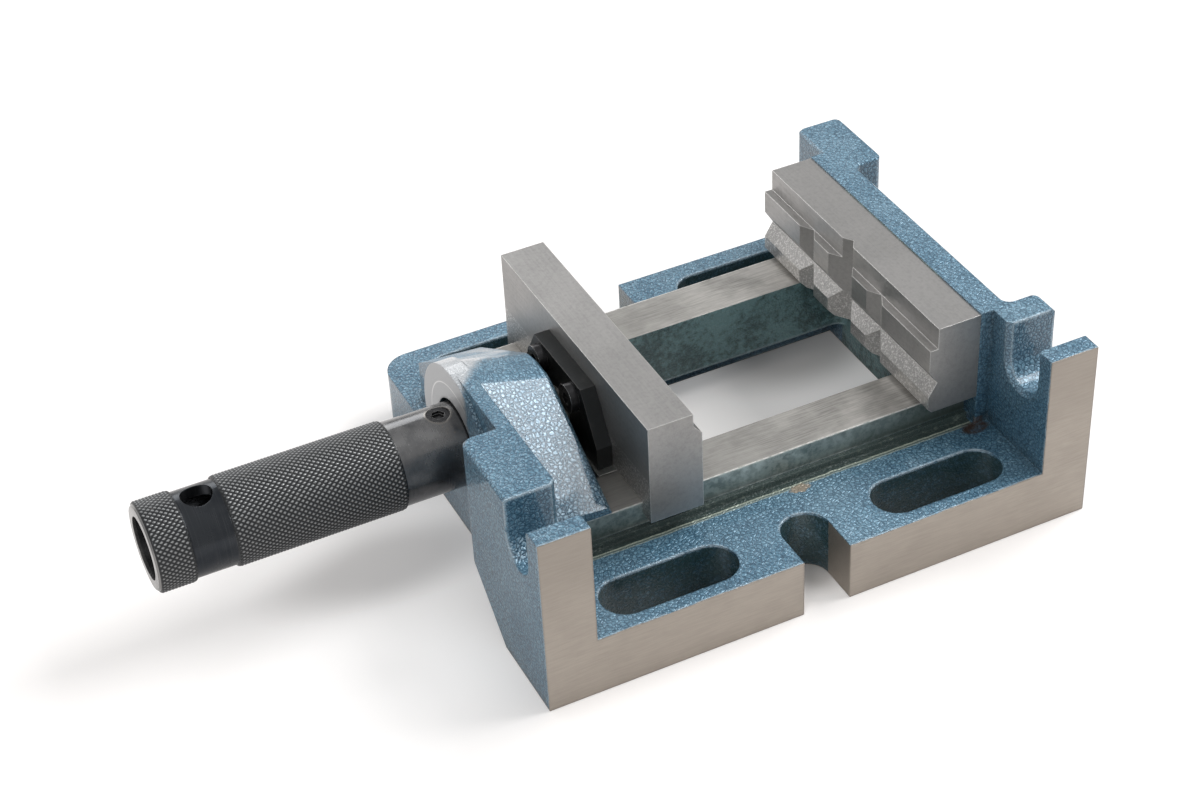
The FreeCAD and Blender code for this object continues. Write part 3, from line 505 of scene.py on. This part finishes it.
SLIDE_LIGHT, SLIDE_DARK, SLIDE_LINES = (0.45, 0.46, 0.44), (0.24, 0.25, 0.24), (900, 90, 900)

slide_iron = ground_steel("milled_slide_iron", SLIDE_LIGHT, SLIDE_DARK, SLIDE_LINES)
for node in ("guide_block", "keeper_plate"):
    dress(node, slide_iron)


# The bracket is a blackened steel block with a film of oil. Two screws hold it to the back of the
# moving jaw, and it takes the screw's journal.

BRACKET_BLACK, BRACKET_WORN = (0.022, 0.024, 0.025), (0.060, 0.058, 0.055)
BRACKET_EDGE, BRACKET_ROUGH = (0.20, 0.19, 0.185), 0.26
BLACK_EDGE, BLACK_DEPTH = 0.3 * MM, 0.03 * MM


def blackened(name, base, worn, edge, rough):
    """Black oxide on steel, thin and brown-grey where it is worn, and lighter on its edges."""
    black = Finish(name, Metallic=0.75, Specular_IOR_Level=0.5)
    cloud = black.noise(90, 4.0, roughness=0.6)
    fleck = black.noise(1300, 2.0)
    tone = black.blend(cloud.rise(0.45, 0.75) * 0.5, base, worn)
    tone = black.blend(black.edge_mask(BLACK_EDGE) * 0.6, tone, edge)
    black.feed(Base_Color=tone, Roughness=rough + cloud * 0.18)
    black.relief(fleck, BLACK_DEPTH, EDGE_ROUND)
    return black


dress("spindle_bracket", blackened("bracket_black_oxide", BRACKET_BLACK, BRACKET_WORN,
                                   BRACKET_EDGE, BRACKET_ROUGH))


# The screw is turned from steel, and doesn't turn in use. It has a trapezoidal thread with a pitch
# of 4 mm, and a plain journal that is pinned in the bracket. The pin, the nut and the thrust
# washer are of the same oiled steel.

THREAD_PITCH, THREAD_DEPTH = 4.0 * MM, 2.0 * MM
SCREW_RADIUS, JOURNAL_RADIUS, END_CHAMFER = 8.0 * MM, 6.5 * MM, 0.6 * MM
ENTRY_LENGTH, ENTRY_DEPTH, SHOULDER_STEP = 1.5 * MM, 1.2 * MM, 0.01 * MM
AROUND_SCREW, STEPS_PER_PITCH = 48, 16
FLANK_MIDDLE, FLANK_SPAN = 0.50, 0.28
OILED_LIGHT, OILED_DARK, OILED_LINES = (0.36, 0.35, 0.33), (0.18, 0.175, 0.165), (2500, 200, 200)


def turned_mesh(name, along, radius, closed=True):
    """A surface round the screw's axis: row i at X = along[i], column j at angle
    2 pi j / columns, and the distance from the axis is radius[i, j]."""
    rows, columns = radius.shape
    angle = np.linspace(0.0, 2 * np.pi, columns, endpoint=False)
    x = np.repeat(along[:, None], columns, axis=1)
    points = np.stack([x, -radius * np.cos(angle), SCREW_HEIGHT + radius * np.sin(angle)], axis=-1)
    first = np.arange(rows - 1)[:, None] * columns
    here = first + np.arange(columns)[None, :]
    beside = first + (np.arange(columns)[None, :] + 1) % columns
    faces = np.stack([here, here + columns, beside + columns, beside], axis=-1)
    faces = faces.reshape(-1, 4).tolist()
    if closed:
        faces.append(list(range(columns)))
        faces.append(list(range(rows * columns - 1, (rows - 1) * columns - 1, -1)))
    mesh = bpy.data.meshes.new(name)
    mesh.from_pydata(points.reshape(-1, 3).tolist(), [], faces)
    mesh.polygons.foreach_set("use_smooth", [len(face) == 4 for face in faces])
    mesh.update()
    item = bpy.data.objects.new(name, mesh)
    bpy.context.scene.collection.objects.link(item)
    return item


def threaded_rod():
    """The screw: radius = outer radius less a trapezoid wave of the pitch, which climbs against
    the turn, and a plain journal with a chamfered end."""
    low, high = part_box("spindle")
    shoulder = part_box("spindle_bracket")[0].x
    threaded = np.arange(low.x, shoulder, THREAD_PITCH / STEPS_PER_PITCH)
    turns = np.linspace(0.0, 1.0, AROUND_SCREW, endpoint=False)
    phase = threaded[:, None] / THREAD_PITCH - turns[None, :]
    wave = np.abs(2.0 * (phase - np.floor(phase)) - 1.0)
    groove = np.clip((FLANK_MIDDLE + FLANK_SPAN / 2 - wave) / FLANK_SPAN, 0.0, 1.0)
    entry = np.clip((threaded - low.x) / ENTRY_LENGTH, 0.0, 1.0)[:, None]
    radius = SCREW_RADIUS - THREAD_DEPTH * groove
    radius = np.minimum(radius, SCREW_RADIUS - ENTRY_DEPTH * (1.0 - entry))
    journal = np.array([shoulder - SHOULDER_STEP, shoulder, high.x - END_CHAMFER, high.x])
    journal_radius = np.array([SCREW_RADIUS, JOURNAL_RADIUS, JOURNAL_RADIUS,
                               JOURNAL_RADIUS - END_CHAMFER])
    along = np.concatenate([threaded, journal])
    radius = np.vstack([radius, np.repeat(journal_radius[:, None], AROUND_SCREW, axis=1)])
    return turned_mesh("threaded_screw", along, radius)


screw = threaded_rod()
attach(screw, "jaw")
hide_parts("spindle")
oiled_steel = ground_steel("oiled_turned_steel", OILED_LIGHT, OILED_DARK, OILED_LINES)
screw.data.materials.append(oiled_steel.material)
for node in ("spindle_pin", "spindle_nut", "thrust_washer"):
    dress(node, oiled_steel)


# The handle is a steel tube, turned and blackened, and its neck holds the nut. Its cap and grip are
# rolled with a diamond knurl, whose points shine. The set screw's seat is cut after blackening.

KNURL_ROOT, KNURL_TIP, KNURL_COUNT = 14.83 * MM, 15.25 * MM, 54
KNURL_SLOPE = math.radians(39.0)
KNURL_ROWS, KNURL_COLUMNS = 8, 6
BAND_SINK, BAND_FADE = 0.40 * MM, 0.8 * MM
CAP_LENGTH, WAIST_LENGTH, GRIP_LENGTH = 12.5 * MM, 13.8 * MM, 57.5 * MM
CAP_CHAMFER, END_REACH = 0.6 * MM, 1.05 * MM
SET_SCREW_X, SEAT_RADIUS = -93.8 * MM, 4.7 * MM
KNURL_BLACK, KNURL_POINT = (0.038, 0.040, 0.042), (0.345, 0.35, 0.355)
POINT_FROM, POINT_FULL = KNURL_ROOT + 0.10 * MM, KNURL_TIP - 0.03 * MM
FILM_DARK, FILM_LIGHT = (0.090, 0.093, 0.100), (0.190, 0.190, 0.192)
WAIST_DARK_REFLECTION, TURNED_GREY = (0.018, 0.023, 0.030), (0.19, 0.19, 0.192)
NECK_BROWN, SPECK_TAN, DUST_GREY = (0.20, 0.18, 0.16), (0.32, 0.25, 0.18), (0.17, 0.16, 0.15)
END_BRIGHT, SEAT_STEEL = (0.33, 0.325, 0.32), (0.22, 0.21, 0.20)
TURNED_LINES, TURNED_DEPTH, TURNED_ROUND = (3200, 30, 30), 0.03 * MM, 0.3 * MM
WEAR_FROM, WEAR_FULL, SPECKS_FROM, SPECKS_FULL = -98 * MM, -86 * MM, -112 * MM, -90 * MM


def knurled_band(name, start, length):
    """A diamond knurl: the height is the lesser of two triangle waves that cross at the knurl's
    angle, and it dies away at both ends of the band, which sink into the tube."""
    pitch = 2 * np.pi * KNURL_TIP / KNURL_COUNT / math.tan(KNURL_SLOPE)
    along = np.append(np.arange(start, start + length, pitch / KNURL_ROWS), start + length)
    turns = np.arange(KNURL_COUNT * KNURL_COLUMNS) / KNURL_COLUMNS
    one, other = [turns[None, :] + way * along[:, None] / pitch for way in (1.0, -1.0)]
    waves = [2.0 * np.abs(wave - np.round(wave)) for wave in (one, other)]
    edge = np.minimum(along - start, start + length - along)
    fade = np.clip(edge / BAND_FADE, 0.0, 1.0)[:, None]
    radius = KNURL_ROOT + (KNURL_TIP - KNURL_ROOT) * np.minimum(*waves) * fade
    radius[0, :] = radius[-1, :] = KNURL_ROOT - BAND_SINK
    band = turned_mesh(name, along, radius, closed=False)
    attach(band, "handle")
    return band


handle_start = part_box("handle")[0].x
cap = knurled_band("cap_knurl", handle_start + CAP_CHAMFER, CAP_LENGTH - CAP_CHAMFER)
grip = knurled_band("grip_knurl", handle_start + CAP_LENGTH + WAIST_LENGTH, GRIP_LENGTH)

knurl_black = Finish("knurled_black_oxide", Metallic=0.8, Specular_IOR_Level=0.5)
ky, kz = knurl_black.axes(knurl_black.place)[1:]
point = knurl_black.distance(ky, kz - SCREW_HEIGHT).rise(POINT_FROM, POINT_FULL)
dust = knurl_black.noise(500, 3.0)
knurl_tone = knurl_black.blend(point, KNURL_BLACK, KNURL_POINT)
knurl_black.feed(
    Base_Color=knurl_black.blend(dust.rise(0.62, 0.75) * 0.25, knurl_tone, DUST_GREY),
    Roughness=0.26 + dust * 0.2)
for band in (cap, grip):
    band.data.materials.append(knurl_black.material)

smooth_black = Finish("turned_black_oxide", Metallic=0.85, Specular_IOR_Level=0.5)
hx, hy, hz = smooth_black.axes(smooth_black.place)
rings = smooth_black.noise(1.0, 2.0, smooth_black.stretch(*TURNED_LINES), 0.6)
film = smooth_black.noise(70, 4.0, roughness=0.6)
fleck = smooth_black.noise(1400, 3.0, roughness=0.7)
seat = (smooth_black.distance(hx - SET_SCREW_X, hy) < SEAT_RADIUS) * (hz > SCREW_HEIGHT)
neck_wear = hx.rise(WEAR_FROM, WEAR_FULL) * film.rise(0.42, 0.7)
specks = fleck.rise(0.66, 0.72) * hx.rise(SPECKS_FROM, SPECKS_FULL)
end_face = hx < handle_start + END_REACH
waist = (hx > handle_start + CAP_LENGTH) * (hx < handle_start + CAP_LENGTH + WAIST_LENGTH)
tone = smooth_black.blend(film.rise(0.35, 0.65), FILM_DARK, FILM_LIGHT)
# The waist is darkened: a painted reflection of dark surroundings.
for cover, colour in ((waist * 0.85, WAIST_DARK_REFLECTION),
                      (rings.rise(0.45, 0.7) * (0.28 - waist * 0.20), TURNED_GREY),
                      (neck_wear * 0.5, NECK_BROWN), (specks, SPECK_TAN),
                      (end_face * 0.7, END_BRIGHT), (seat, SEAT_STEEL)):
    tone = smooth_black.blend(cover, tone, colour)
smooth_black.feed(Base_Color=tone, Roughness=0.10 + film.rise(0.35, 0.65) * 0.16 + rings * 0.06)
smooth_black.relief(rings * 0.5 + fleck * 0.3 + film * 2.0, TURNED_DEPTH, TURNED_ROUND)
dress("handle", smooth_black)


# The fasteners are standard screws and bolts of alloy steel, black from their heat treatment, with
# bright edges where a key has turned them, lightened further by painted highlights.

ALLOY_BLACK, ALLOY_WORN = (0.030, 0.030, 0.032), (0.080, 0.078, 0.075)
ALLOY_EDGE_HIGHLIGHT, ALLOY_ROUGH = (0.62, 0.61, 0.60), 0.16

screw_black = blackened("alloy_screw_black", ALLOY_BLACK, ALLOY_WORN, ALLOY_EDGE_HIGHLIGHT, ALLOY_ROUGH)
for kind in ("fixed_jaw_bolt", "bracket_screw", "jaw_screw", "keeper_screw"):
    for side in ("near", "far"):
        dress(kind + "_" + side, screw_black)
dress("handle_grub_screw", screw_black)
